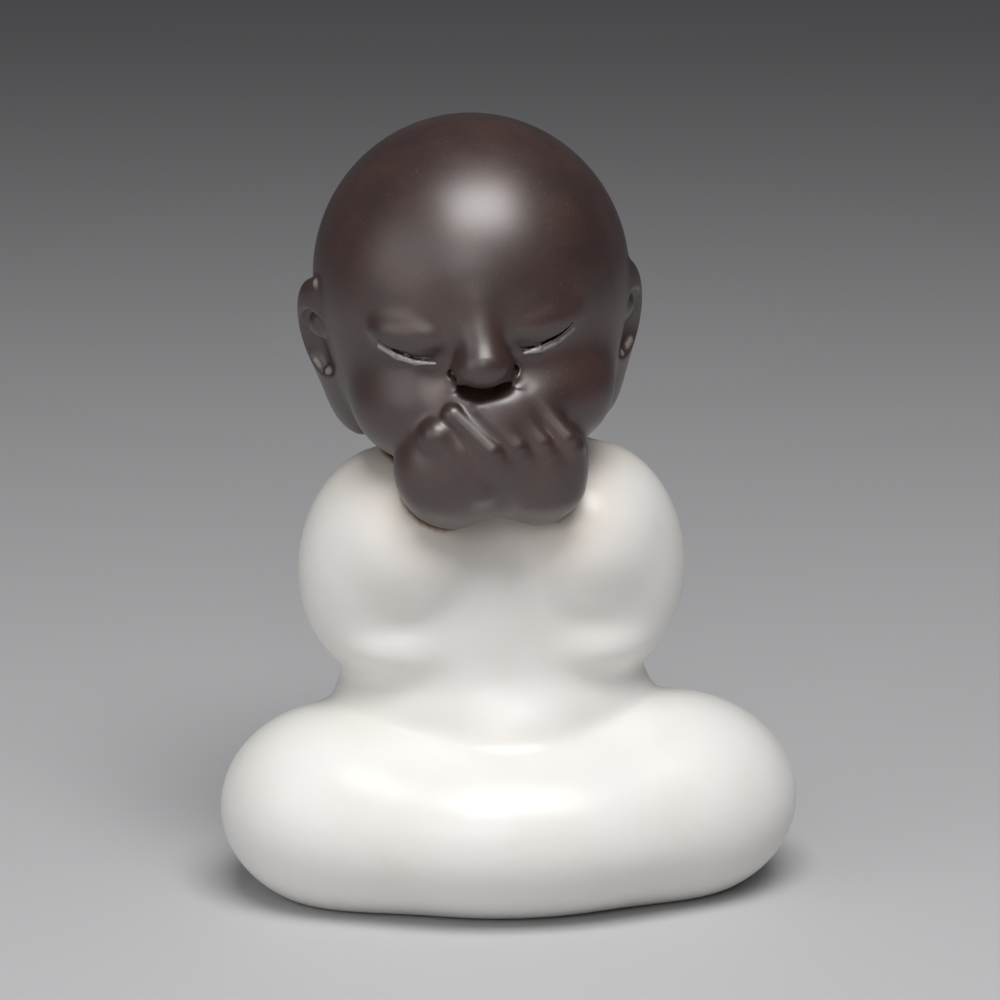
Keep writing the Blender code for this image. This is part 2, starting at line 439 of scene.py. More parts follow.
class Sculpture:
    """A piece modelled from one lump of clay.

    A subclass gives its name, its slot, its grain in parts, the patches that are drawn finer and its lump.
    """

    SETTLE_PASSES = 2  # how often each point is moved when the mesh is settled
    EVEN_PASSES = 2
    EVEN_SHARE = 0.5  # how far each pass moves a point towards its neighbours' middle

    name: str
    slot: Slot
    grain: float
    fine: tuple[Patch, ...]
    bench: Bench | None

    def clay(self, bench: Bench) -> Lump:
        """The piece's lump on the bench."""
        raise NotImplementedError

    def shaped(self) -> Bench:
        """Shapes the piece's lump the first time that it is wanted.

        Returns:
            The bench with the lump.
        """
        if self.bench is None:
            self.bench = Bench(self.name)
            lump = self.clay(self.bench)
            self.bench.node("NodeGroupOutput", {}, {0: lump.depth})
        return self.bench

    def build(self) -> bpy.types.Object:
        """Models the piece.

        Returns:
            The finished mesh object, still where the forms were laid out.
        """
        bpy.ops.object.select_all(action="DESELECT")
        bpy.ops.mesh.primitive_ico_sphere_add(radius=self.grain * PART)
        solid = bpy.context.object
        solid.name = self.name + "_clay"
        solid.data.name = solid.name
        skin = Work()
        skin.skin(self.shaped(), self.grain * PART)
        skin.do(solid)
        self.settle(solid)
        for halving in range(max(patch.halvings for patch in self.fine)):
            self.halve(solid, [patch for patch in self.fine if patch.halvings > halving])
            self.settle(solid)
        self.even_out(solid)
        self.settle(solid)
        bpy.ops.object.shade_smooth()
        return solid

    def settle(self, solid: bpy.types.Object) -> None:
        """Moves the mesh onto the lump's surface.

        Args:
            solid: the mesh object, which is the active one.
        """
        work = Work()
        work.settle(self.shaped(), self.SETTLE_PASSES)
        work.do(solid)

    def halve(self, solid: bpy.types.Object, patches: Sequence[Patch]) -> None:
        """Halves the edges of the faces inside some patches.

        Args:
            solid: the mesh object, which is the active one.
            patches: the patches.
        """
        bpy.ops.object.mode_set(mode="EDIT")
        bpy.ops.mesh.select_mode(type="FACE")
        bpy.ops.mesh.select_all(action="DESELECT")
        bpy.ops.object.mode_set(mode="OBJECT")
        for polygon in solid.data.polygons:
            centre = polygon.center / PART
            polygon.select = any((centre - Vector(patch.at)).length < patch.radius for patch in patches)
        bpy.ops.object.mode_set(mode="EDIT")
        bpy.ops.mesh.subdivide(number_cuts=1, ngon=False)
        bpy.ops.object.mode_set(mode="OBJECT")

    def even_out(self, solid: bpy.types.Object) -> None:
        """Evens the spacing of the mesh's points.

        Args:
            solid: the mesh object, which is the active one.
        """
        smooth = solid.modifiers.new("Even", "SMOOTH")
        smooth.factor = self.EVEN_SHARE
        smooth.iterations = self.EVEN_PASSES
        bpy.ops.object.modifier_apply(modifier=smooth.name)


@dataclass
class Skull:
    """The bald skull, the full cheeks, the jaw and the fullness beside the nose."""

    cranium: Ball = Ball((0, 0.5, 0), (12.9, 13.6, 13.1))
    jaw: Ball = Ball((0, -2.6, -6.8), (10.6, 9.8, 9.0))
    cheek: Ball = Ball((5.1, -8.3, -6.8), (5.1, 4.6, 4.2))
    blend: float = 4.2
    fullness: Ball = Ball((4.2, -9.6, -6.4), (4.0, 4.4, 3.9))
    fullness_blend: float = 2.5

    def shape(self, head: Space) -> Lump:
        """Shapes the bald head.

        Args:
            head: the head's space.

        Returns:
            The lump.
        """
        clay = head.ball(self.cranium).join(head.ball(self.jaw), self.blend)
        for side in Side:
            clay = clay.join(head.ball(self.cheek.on(side)), self.blend)
            clay = clay.join(head.ball(self.fullness.on(side)), self.fullness_blend)
        return clay


@dataclass
class Eye:
    """One closed eye: a hollow beside the nose, a soft lid, a slit below it and a thin lip under that."""

    side: Side
    lift: float
    shift: float = -0.47
    hollow: Ball = Ball((2.9, -16.4, -1.2), (2.4, 3.4, 2.4))
    hollow_blend: float = 2.6
    lid: Ball = Ball((5.4, -10.9, 0.55), (3.1, 1.5, 1.6), (0, 0, 27))
    lid_blend: float = 1.4
    course: tuple[Triple, ...] = (
        (7.55, -10.65, 0.0),
        (6.3, -11.4, -0.66),
        (4.9, -12.1, -1.0),
        (3.4, -12.6, -0.98),
    )
    slit_radii: tuple[float, ...] = (0.13, 0.2, 0.2, 0.12)
    slit_blend: float = 0.1
    slit_reach: Triple = (0.0, -0.45, 0.16)
    lip_offset: Triple = (0.0, -0.24, -0.36)
    lip_radii: tuple[float, ...] = (0.22, 0.25, 0.2, 0.1)
    lip_blend: float = 0.35

    def placed(self, point: Triple, offset: Triple = (0, 0, 0)) -> Triple:
        """A point of the left eye on this eye's side of the head."""
        x, y, z = (own + more for own, more in zip(point, offset))
        return (self.side * x + self.shift, y, z + self.lift)

    def rolls(self, radii: Sequence[float], offset: Triple = (0, 0, 0)) -> list[Roll]:
        """Rolls along the eye's course.

        Args:
            radii: the radius at each point of the course.
            offset: how far the rolls lie from the course.

        Returns:
            The rolls from the eye's outer corner to its inner one.
        """
        points = [self.placed(point, offset) for point in self.course]
        return [Roll(*pair) for pair in zip(points, points[1:], radii, radii[1:])]

    def lips(self, head: Space) -> list[Lump]:
        """The thin lip under the slit, in the lengths that it is made of."""
        return [head.roll(lip) for lip in self.rolls(self.lip_radii, self.lip_offset)]

    def shape(self, clay: Lump, head: Space) -> Lump:
        """Shapes this eye.

        Args:
            clay: the clay so far.
            head: the head's space.

        Returns:
            The clay with the eye in it.
        """
        forms = ((self.hollow, self.hollow_blend, True), (self.lid, self.lid_blend, False))
        for form, blend, pressed in forms:
            turn = (form.turn[0], form.turn[1], self.side * form.turn[2])
            lump = head.ball(Ball(self.placed(form.at), form.radii, turn))
            clay = clay.cut(lump, blend) if pressed else clay.join(lump, blend)
        for lip in self.lips(head):
            clay = clay.join(lip, self.lip_blend)
        for slit in self.rolls(self.slit_radii) + self.rolls(self.slit_radii, self.slit_reach):
            clay = clay.cut(head.roll(slit), self.slit_blend)
        return clay


@dataclass
class Nose:
    """The short round nose with its wings, the pits behind them, the nostrils and the hollow below it."""

    middle: float = -0.15
    bridge: Roll = Roll((0, -11.2, 2.1), (0, -13.8, -1.3), 1.3, 1.75)
    bridge_blend: float = 2.4
    bulb: Ball = Ball((0, -13.6, -1.7), (2.05, 2.0, 1.5))
    bulb_blend: float = 1.2
    wing: Ball = Ball((1.65, -12.9, -2.5), (0.85, 1.3, 0.8))
    wing_blend: float = 0.9
    hollow: Ball = Ball((0, -14.0, -3.65), (2.2, 1.2, 0.4))
    hollow_blend: float = 0.9
    pit: Ball = Ball((2.45, -13.3, -2.5), (0.45, 1.0, 0.45))
    pit_blend: float = 0.2
    nostril: Ball = Ball((1.3, -13.6, -3.4), (0.8, 1.3, 0.5))
    nostril_blend: float = 0.25

    def space(self, head: Space) -> Space:
        """The nose's own space, a little to the right of the head's middle."""
        return head.within((self.middle, 0, 0), (0, 0, 0))

    def shape(self, clay: Lump, head: Space) -> Lump:
        """Shapes the nose.

        Args:
            clay: the clay so far.
            head: the head's space.

        Returns:
            The clay with the nose on it.
        """
        own = self.space(head)
        clay = clay.join(own.roll(self.bridge), self.bridge_blend)
        clay = clay.join(own.ball(self.bulb), self.bulb_blend)
        for side in Side:
            clay = clay.join(own.ball(self.wing.on(side)), self.wing_blend)
        return clay

    def open(self, clay: Lump, head: Space) -> Lump:
        """Opens the pits, the nostrils and the hollow between the nose and the fingers.

        Args:
            clay: the clay so far.
            head: the head's space.

        Returns:
            The clay with them pressed out.
        """
        own = self.space(head)
        clay = clay.cut(own.ball(self.hollow), self.hollow_blend)
        for side in Side:
            clay = clay.cut(own.ball(self.pit.on(side)), self.pit_blend)
            clay = clay.cut(own.ball(self.nostril.on(side)), self.nostril_blend)
        return clay


@dataclass
class Ear:
    """One ear: a cupped flap with a rolled rim, a fold inside it, the ear hole and a long lobe."""

    side: Side
    out: float
    lift: float
    at: Triple = (12.0, -2.0, -4.1)
    turn: Triple = (-5, 9, -38)
    flap: Ball = Ball((0, 0, 0), (1.6, 3.7, 5.7))
    lobe: Ball = Ball((-0.4, 0.3, -5.4), (1.5, 2.8, 3.7))
    lobe_blend: float = 1.6
    cup: Ball = Ball((2.0, 0.4, 0.4), (2.2, 2.7, 3.2))
    cup_blend: float = 0.3
    rim: Roll = Roll((0.7, -2.9, 2.6), (0.2, -0.4, 5.5), 0.38, 0.34)
    lower_edges: tuple[Roll, ...] = (
        Roll((0.85, 2.0, -1.9), (0.9, 1.2, -2.7), 0.24, 0.26),
        Roll((0.9, 0.4, -2.5), (0.9, -1.2, -3.1), 0.34, 0.3),
    )
    edge_blend: float = 0.4
    fold: Ball = Ball((0.35, 0.4, 1.7), (1.0, 1.2, 1.2))
    fold_blend: float = 0.4
    hole: Ball = Ball((0.2, -0.3, -0.7), (1.4, 0.75, 1.1))
    hole_blend: float = 0.2
    blend: float = 0.7

    def space(self, head: Space) -> Space:
        """The ear's own space: x outward, y to its back edge, z to its top."""
        at = (self.side * (self.at[0] + self.out), self.at[1], self.at[2] + self.lift)
        return head.within(at, (self.turn[0], self.side * self.turn[1], self.side * self.turn[2]))

    def edges(self, head: Space) -> list[Lump]:
        """The thin edges of the ear, which get a painted highlight."""
        own = self.space(head)
        return [own.roll(edge.on(self.side)) for edge in (self.rim, *self.lower_edges)]

    def shape(self, clay: Lump, head: Space) -> Lump:
        """Shapes this ear.

        Args:
            clay: the clay so far.
            head: the head's space.

        Returns:
            The clay with the ear on it.
        """
        side = self.side
        own = self.space(head)
        form = own.ball(self.flap.on(side)).join(own.ball(self.lobe.on(side)), self.lobe_blend)
        form = form.cut(own.ball(self.cup.on(side)), self.cup_blend)
        for edge in (self.rim, *self.lower_edges):
            form = form.join(own.roll(edge.on(side)), self.edge_blend)
        form = form.join(own.ball(self.fold.on(side)), self.fold_blend)
        form = form.cut(own.ball(self.hole.on(side)), self.hole_blend)
        return clay.join(form, self.blend)


@dataclass(frozen=True)
class Joints:
    """Where one joint of each finger lies: the first finger's, the step to the next and its growth."""

    first: Triple
    step: Triple
    growth: Triple = (0.0, 0.0, 0.0)

    def at(self, finger: int, offset: Triple = (0.0, 0.0, 0.0)) -> Triple:
        """The place of a finger's joint, moved by an offset.

        Args:
            finger: the finger's number, from 0.
            offset: how far it is moved, in parts.

        Returns:
            The place in parts.
        """
        axes = zip(self.first, self.step, self.growth, offset)
        x, y, z = (at + step * finger + growth * finger**2 + more for at, step, growth, more in axes)
        return (x, y, z)


@dataclass
class Hands:
    """Both hands over the mouth, the left one on top, with the fingers side by side."""

    palm: Ball = Ball((0.7, -10.2, -11.5), (6.2, 4.0, 6.5))
    heels: tuple[Ball, ...] = (
        Ball((-2.5, -9.6, -13.6), (4.7, 4.3, 5.0)),
        Ball((4.3, -9.6, -13.4), (4.1, 4.3, 5.1)),
    )
    heel_blend: float = 0.7
    valley: Roll = Roll((1.0, -13.4, -18.5), (1.0, -9.0, -18.7), 0.9, 0.9)
    valley_blend: float = 1.0
    right_count: int = 3
    right_knuckles: Joints = Joints((-4.6, -11.2, -11.1), (1.7, -0.7, -0.3))
    right_wrists: Joints = Joints((-4.2, -10.6, -15.0), (1.0, 0.0, 0.0))
    right_radii: tuple[float, float] = (1.3, 1.8)
    right_blend: float = 1.4
    under_finger: Roll = Roll((-3.9, -12.4, -10.5), (-0.6, -12.6, -14.6), 1.5, 1.4)
    under_blend: float = 0.9
    left_count: int = 4
    left_tips: Joints = Joints((-2.7, -12.8, -8.8), (2.05, 0.0, 0.35), (0.0, 0.11, 0.0))
    left_knuckles: Joints = Joints((0.1, -13.85, -11.5), (2.0, 0.35, 0.22))
    left_wrists: Joints = Joints((3.4, -11.5, -15.0), (0.8, 0.2, 0.0))
    finger_radii: tuple[float, float] = (0.95, 1.0)
    finger_blend: float = 0.4
    back_offset: Triple = (0.4, 0.5, -0.8)
    back_radii: tuple[float, float] = (1.2, 2.0)
    back_blend: float = 1.2

    def right_hand(self) -> list[Roll]:
        """The backs of the right hand's fingers, which lie under the left ones."""
        ends = [(self.right_knuckles.at(i), self.right_wrists.at(i)) for i in range(self.right_count)]
        return [Roll(*pair, *self.right_radii) for pair in ends]

    def left_backs(self) -> list[Roll]:
        """The back of the left hand behind each finger."""
        numbers = range(self.left_count)
        ends = [(self.left_knuckles.at(i, self.back_offset), self.left_wrists.at(i)) for i in numbers]
        return [Roll(*pair, *self.back_radii) for pair in ends]

    def left_fingers(self) -> list[Roll]:
        """The fingers of the left hand, each from its tip to its knuckle."""
        ends = [(self.left_tips.at(i), self.left_knuckles.at(i)) for i in range(self.left_count)]
        return [Roll(*pair, *self.finger_radii) for pair in ends]

    def shape(self, upright: Space) -> Lump:
        """Shapes both hands.

        Args:
            upright: the upright space round the head's middle.

        Returns:
            The lump.
        """
        clay = upright.ball(self.palm)
        for heel in self.heels:
            clay = clay.join(upright.ball(heel), self.heel_blend)
        groups = (
            (self.right_hand(), self.right_blend),
            ([self.under_finger], self.under_blend),
            (self.left_backs(), self.back_blend),
            (self.left_fingers(), self.finger_blend),
        )
        for rolls, blend in groups:
            for roll in rolls:
                clay = clay.join(upright.roll(roll), blend)
        return clay.cut(upright.roll(self.valley), self.valley_blend)


@dataclass
class HeadAndHands(Sculpture):
    """The bare dark piece: the bowed head and both hands over its mouth."""

    name: str = "head_and_hands"
    slot: Slot = Slot.BARE_CLAY
    grain: float = 0.4
    middle: Triple = (-1.7, 0.5, 51.3)
    turn: Triple = (14.0, -4.0, -2.5)
    hands_blend: float = 1.2
    skull: Skull = field(default_factory=Skull)
    eyes: tuple[Eye, ...] = (Eye(Side.RIGHT, -0.12), Eye(Side.LEFT, 0.12))
    nose: Nose = field(default_factory=Nose)
    ears: tuple[Ear, ...] = (Ear(Side.RIGHT, -0.4, 0.4), Ear(Side.LEFT, -0.9, -0.1))
    hands: Hands = field(default_factory=Hands)
    # the face with the hands, each ear, each eye slit and the nose
    fine: tuple[Patch, ...] = (
        Patch((-1.7, -12.0, 42.5), 9.5),
        Patch((-14.3, -2.5, 46.5), 7.5),
        Patch((10.9, -2.5, 46.5), 7.5),
        Patch((-7.8, -10.0, 47.4), 2.8, 3),
        Patch((2.8, -10.9, 48.3), 2.8, 3),
        Patch((-1.9, -12.5, 45.0), 3.4, 2),
    )
    bench: Bench | None = None

    def clay(self, bench: Bench) -> Lump:
        """Shapes the whole dark piece.

        Args:
            bench: the bench that it is shaped on.

        Returns:
            The lump.
        """
        head = Space(bench, self.middle, self.turn)
        clay = self.skull.shape(head)
        for eye in self.eyes:
            clay = eye.shape(clay, head)
        clay = self.nose.shape(clay, head)
        for ear in self.ears:
            clay = ear.shape(clay, head)
        clay = clay.join(self.hands.shape(Space(bench, self.middle)), self.hands_blend)
        return self.nose.open(clay, head)

    def build(self) -> bpy.types.Object:
        """Models the piece, and keeps the distance to the thin edges, which get a painted highlight and a
        smoother polish.

        Returns:
            The finished mesh object.
        """
        solid = super().build()
        # the distance to the eye lips and ear rims, for their painted highlight
        bench = Bench("edge_highlight")
        head = Space(bench, self.middle, self.turn)
        edges = [lump for part in self.eyes for lump in part.lips(head)]
        edges += [lump for part in self.ears for lump in part.edges(head)]
        nearest = edges[0]
        for edge in edges[1:]:
            nearest = nearest.join(edge)
        bench.node("NodeGroupOutput", {}, {0: nearest.depth})
        work = Work()
        work.mark(bench, "edge_highlight")
        work.do(solid)
        return solid


@dataclass
class Torso:
    """The upper robe: the trunk, and on each side the sleeve, the forearm and the lobe of cloth below."""

    trunk: Ball = Ball((0, 3.2, 24.0), (11.5, 10.2, 17.0))
    sleeve: Ball = Ball((9.3, 0.8, 28.0), (6.7, 7.6, 9.3), (0, -10, 0))
    forearm: Ball = Ball((6.9, -2.6, 30.4), (6.2, 6.8, 6.6), (0, -8, 0))
    forearm_blend: float = 3.5
    sleeve_blend: float = 2.4
    lobe: Ball = Ball((7.3, -1.6, 21.8), (5.7, 5.6, 3.3))
    lobe_blend: float = 3.4
    crease_blend: float = 2.4

    def shape(self, robe: Space) -> Lump:
        """Shapes the upper robe.

        Args:
            robe: the robe's space.

        Returns:
            The lump.
        """
        trunk = robe.ball(self.trunk)
        arms = trunk
        lobes = trunk
        for side in Side:
            sleeve = robe.ball(self.sleeve.on(side))
            sleeve = sleeve.join(robe.ball(self.forearm.on(side)), self.forearm_blend)
            arms = arms.join(sleeve, self.sleeve_blend)
            lobes = lobes.join(robe.ball(self.lobe.on(side)), self.lobe_blend)
        return arms.join(lobes, self.crease_blend)


@dataclass
class Legs:
    """The crossed legs under the robe, which read as one wide pebble."""

    lap: Ball = Ball((1.3, -0.1, 6.9), (21.0, 15.7, 9.2))
    knee: Ball = Ball((13.6, -1.2, 7.4), (10.5, 10.2, 8.5), (0, 0, 6))
    knee_shift: float = 1.3
    blend: float = 5.0

    def shape(self, robe: Space) -> Lump:
        """Shapes the crossed legs.

        Args:
            robe: the robe's space.

        Returns:
            The lump.
        """
        clay = robe.ball(self.lap)
        for side in Side:
            knee = self.knee.on(side)
            at = (knee.at[0] + self.knee_shift, knee.at[1], knee.at[2])
            clay = clay.join(robe.ball(Ball(at, knee.radii, knee.turn)), self.blend)
        return clay


@dataclass
class Robe(Sculpture):
    """The white glazed piece: the robe with the seat that holds the head and hands."""

    head: HeadAndHands
    name: str = "robe"
    slot: Slot = Slot.WHITE_GLAZE
    grain: float = 0.4
    torso: Torso = field(default_factory=Torso)
    legs: Legs = field(default_factory=Legs)
    skirt: Ball = Ball((0.2, 1.2, 15.6), (13.4, 9.0, 5.6))
    skirt_blend: float = 4.0
    point: Ball = Ball((0.9, -3.3, 13.8), (6.4, 6.2, 4.5))
    point_blend: float = 3.6
    lap_blend: float = 1.8
    seam: float = 0.14
    seam_blend: float = 0.2
    foot_blend: float = 0.6
    # the seat's edge, where the glaze breaks round the head and hands
    fine: tuple[Patch, ...] = (Patch((-0.8, -9.0, 38.0), 9.5),)
    bench: Bench | None = None

    def clay(self, bench: Bench) -> Lump:
        """Shapes the whole white piece, level where it stands and hollowed for the head.

        Args:
            bench: the bench that it is shaped on.

        Returns:
            The lump.
        """
        robe = Space(bench)
        upper = self.torso.shape(robe).join(robe.ball(self.skirt), self.skirt_blend)
        upper = upper.join(robe.ball(self.point), self.point_blend)
        clay = self.legs.shape(robe).join(upper, self.lap_blend)
        above_ground = bench.node("ShaderNodeSeparateXYZ", {}, {0: robe.here}, "Z")
        clay = clay.cut(Lump(bench, above_ground), self.foot_blend)
        head = Lump(bench, self.head.shaped().depth_in(bench))
        return clay.cut(head.swell(self.seam), self.seam_blend)

    def build(self) -> bpy.types.Object:
        """Models the robe, and keeps the distance to the dark clay, which sets the glaze's brown break with
        its painted shadow line and the painted shade near the clay.

        Returns:
            The finished mesh object.
        """
        solid = super().build()
        work = Work()
        work.mark(self.head.shaped(), "rim")
        work.do(solid)
        return solid


@dataclass(frozen=True)
class Finish:
    """What the finishes share: the tree, patterns on Object coordinates and the surface shader."""

    def start(self, name: str) -> tuple[bpy.types.Material, Graph]:
        """Makes an empty material.

        Args:
            name: the material's name.

        Returns:
            The material and its graph.
        """
        material = bpy.data.materials.new(name)
        material.use_nodes = True
        material.node_tree.nodes.clear()
        return material, Graph(material.node_tree)

    def noise(self, graph: Graph, size: float, detail: float = 2.0, roughness: float = 0.5) -> Wire:
        """A soft noise, from about 0 to 1.

        Args:
            graph: the material's graph.
            size: the noise's own size in parts.
            detail: how many finer octaves it has.
            roughness: how strong those are.

        Returns:
            The noise as a number.
        """
        here = graph.node("ShaderNodeTexCoord", {}, {}, "Object")
        feeds = {"Vector": here, "Scale": 1 / (size * PART), "Detail": detail, "Roughness": roughness}
        return graph.node("ShaderNodeTexNoise", {}, feeds)

    def cells(self, graph: Graph, size: float, out: str) -> Wire:
        """Scattered cells.

        Args:
            graph: the material's graph.
            size: the size of a cell in parts.
            out: Distance for how far the cell's middle is, Color for a colour of each cell's own.

        Returns:
            The wanted output.
        """
        here = graph.node("ShaderNodeTexCoord", {}, {}, "Object")
        return graph.node("ShaderNodeTexVoronoi", {}, {"Vector": here, "Scale": 1 / (size * PART)}, out)

    def ease(self, graph: Graph, value: Wire, low: float, high: float) -> Wire:
        """A smooth step.

        Args:
            graph: the material's graph.
            value: the value that it depends on.
            low: the value where the step is 0.
            high: the value where it is 1.

        Returns:
            The step.
        """
        feeds = {"Value": value, "From Min": low, "From Max": high}
        return graph.node("ShaderNodeMapRange", {"interpolation_type": "SMOOTHSTEP"}, feeds)

    def mixed(self, graph: Graph, factor: Number, first: Any, second: Any, blend: str = "MIX") -> Wire:
        """Mixes two colours.

        Args:
            graph: the material's graph.
            factor: how much of the second there is.
            first: the first colour.
            second: the second colour.
            blend: how they are mixed.

        Returns:
            The mixed colour.
        """
        settings = {"data_type": "RGBA", "blend_type": blend}
        return graph.node("ShaderNodeMix", settings, {0: factor, 6: first, 7: second}, 2)

    def surface(self, graph: Graph, feeds: dict[str, Any]) -> None:
        """Ends the graph with the surface shader."""
        shader = graph.node("ShaderNodeBsdfPrincipled", {}, feeds)
        graph.node("ShaderNodeOutputMaterial", {}, {"Surface": shader})


@dataclass(frozen=True)
class BareClay(Finish):
    """Unglazed purple-brown stoneware with a fine sandy grain, burnished to a soft sheen, with a painted
    highlight on its thin edges.
    """

    colour: Colour = (0.045, 0.019, 0.015, 1.0)
    dark: Colour = (0.027, 0.012, 0.010, 1.0)
    # a pale colour painted on the eye lips and ear rims as a highlight
    edge_highlight: Colour = (0.34, 0.31, 0.29, 1.0)
    sand: Colour = (0.22, 0.15, 0.13, 1.0)
    pale_grain: Colour = (1.2, 1.2, 1.2, 1.0)
    dark_grain: Colour = (0.78, 0.78, 0.78, 1.0)
    grain_size: float = 0.16
    grain_range: Span = (0.25, 0.75)
    patch_size: float = 4.0
    patch_range: Span = (0.3, 0.7)
    speck_size: float = 0.32
    speck_range: Span = (0.16, 0.04)
    speck_chance: Span = (0.74, 0.80)
    speck_strength: float = 0.8
    # the painted highlight and the smoother polish on the thin edges: how far they reach, how ragged their
    # edge is, and how strong the painted highlight is
    highlight_and_polish_range: Span = (0.0, 0.13)
    highlight_and_polish_raggedness: float = 0.1
    edge_highlight_strength: float = 0.8
    roughness: float = 0.50
    grain_roughness: float = 0.12
    patch_roughness: float = 0.10
    edge_polish: float = 0.2
    grain_height: float = 0.020
    grain_share: float = 0.7
    speck_share: float = 0.5
    ripple_size: float = 1.2
    ripple_share: float = 1.2
    specular: float = 0.2
    specular_tint: Colour = (1.0, 0.78, 0.72, 1.0)
    sheen_roughness: float = 0.40
    sheen_index: float = 1.8

    def make(self) -> bpy.types.Material:
        """Makes the material.

        Returns:
            The material.
        """
        material, graph = self.start("bare_clay")
        patches = self.noise(graph, self.patch_size, 3.0)
        grain = self.noise(graph, self.grain_size, 2.0, 0.6)
        specks = self.ease(graph, self.cells(graph, self.speck_size, "Distance"), *self.speck_range)
        draws = self.cells(graph, self.speck_size, "Color")
        chance = graph.node("ShaderNodeSeparateColor", {}, {0: draws})
        sand = specks * self.ease(graph, chance, *self.speck_chance)
        colour = self.mixed(graph, self.ease(graph, patches, *self.patch_range), self.dark, self.colour)
        shade = self.ease(graph, grain, *self.grain_range)
        tone = self.mixed(graph, shade, self.dark_grain, self.pale_grain)
        colour = self.mixed(graph, 1.0, colour, tone, "MULTIPLY")
        colour = self.mixed(graph, sand * self.speck_strength, colour, self.sand)
        # the eye lips and ear rims: a painted highlight in the colour, and a real polish in the roughness
        reach = graph.node("ShaderNodeAttribute", {"attribute_name": "edge_highlight"}, {}, "Fac") / PART
        ragged = reach + (grain - 0.5) * self.highlight_and_polish_raggedness
        highlight_and_polish = 1.0 - self.ease(graph, ragged, *self.highlight_and_polish_range)
        colour = self.mixed(graph, highlight_and_polish * self.edge_highlight_strength, colour, self.edge_highlight)
        rough = self.roughness + (grain - 0.5) * self.grain_roughness
        rough = rough + (patches - 0.5) * self.patch_roughness - highlight_and_polish * self.edge_polish
        ripple = self.noise(graph, self.ripple_size, 2.0) * self.ripple_share
        height = grain * self.grain_share + sand * self.speck_share + ripple
        feeds = {"Strength": 1.0, "Distance": self.grain_height * PART, "Height": height}
        bump = graph.node("ShaderNodeBump", {}, feeds)
        self.surface(graph, {
            "Base Color": colour,
            "Roughness": rough,
            "Normal": bump,
            "Specular IOR Level": self.specular,
            "Specular Tint": self.specular_tint,
            "Coat Weight": 1.0,
            "Coat Roughness": self.sheen_roughness,
            "Coat IOR": self.sheen_index,
        })
        return material


@dataclass(frozen=True)
class WhiteGlaze(Finish):
    """Opaque warm white satin glaze, which breaks to brown at the seat's edge and stops at the foot, with a
    painted shadow line along that edge and painted shade near the dark clay.
    """

    colour: Colour = (0.83, 0.815, 0.785, 1.0)
    warm: Colour = (0.80, 0.775, 0.73, 1.0)
    # brown where the glaze breaks at the seat's edge, made darker as a painted shadow line along the joint
    fringe: Colour = (0.26, 0.13, 0.075, 1.0)
    foot: Colour = (0.62, 0.50, 0.38, 1.0)
    fringe_start: float = 0.2
    fringe_width: float = 0.45
    fringe_raggedness: float = 0.3
    fringe_strength: float = 0.85
    # a painted shade on the glaze under and beside the head and hands
    shade_near_clay: Colour = (0.66, 0.52, 0.40, 1.0)
    shade_near_clay_width: float = 7.0
    shade_near_clay_strength: float = 0.4
    foot_range: Span = (0.05, 0.2)
    foot_raggedness: float = 0.2
    foot_roughness: float = 0.5
    foot_height: float = 0.3
    pale_grit: Colour = (1.15, 1.15, 1.15, 1.0)
    dark_grit: Colour = (0.8, 0.8, 0.8, 1.0)
    patch_size: float = 7.0
    patch_range: Span = (0.35, 0.75)
    patch_roughness: float = 0.08
    fine_size: float = 0.45
    fine_share: float = 0.02
    ripple_size: float = 2.5
    ripple_height: float = 0.03
    roughness: float = 0.32

    def make(self) -> bpy.types.Material:
        """Makes the material.

        Returns:
            The material.
        """
        material, graph = self.start("white_glaze")
        patches = self.noise(graph, self.patch_size, 3.0)
        fine = self.noise(graph, self.fine_size, 2.0)
        colour = self.mixed(graph, self.ease(graph, patches, *self.patch_range), self.colour, self.warm)
        reach = graph.node("ShaderNodeAttribute", {"attribute_name": "rim"}, {}, "Fac") / PART
        # the brown break of the glaze at the seat's edge, darkened as a painted shadow line along the joint
        ragged = reach + (fine - 0.5) * self.fringe_raggedness
        near = 1.0 - self.ease(graph, ragged, self.fringe_start, self.fringe_start + self.fringe_width)
        # painted shade on the glaze near the dark clay, under and beside the head and hands
        shade_near_clay = 1.0 - self.ease(graph, reach, 0.0, self.shade_near_clay_width)
        colour = self.mixed(graph, shade_near_clay * self.shade_near_clay_strength, colour, self.shade_near_clay)
        colour = self.mixed(graph, near * self.fringe_strength, colour, self.fringe)
        here = graph.node("ShaderNodeTexCoord", {}, {}, "Object")
        height_above = graph.node("ShaderNodeSeparateXYZ", {}, {0: here}, "Z") / PART
        ragged = height_above + (fine - 0.5) * self.foot_raggedness
        bare = 1.0 - self.ease(graph, ragged, *self.foot_range)
        grit = self.mixed(graph, fine, self.dark_grit, self.pale_grit)
        foot = self.mixed(graph, 1.0, self.foot, grit, "MULTIPLY")
        colour = self.mixed(graph, bare, colour, foot)
        rough = self.roughness + (patches - 0.5) * self.patch_roughness + bare * self.foot_roughness
        rise = fine * (self.fine_share + bare * self.foot_height)
        height = self.noise(graph, self.ripple_size, 1.0) + rise
        feeds = {"Strength": 1.0, "Distance": self.ripple_height * PART, "Height": height}
        bump = graph.node("ShaderNodeBump", {}, feeds)
        self.surface(graph, {
            "Base Color": colour,
            "Roughness": rough,
            "Normal": bump,
            "Specular IOR Level": 0.5,
        })
        return material


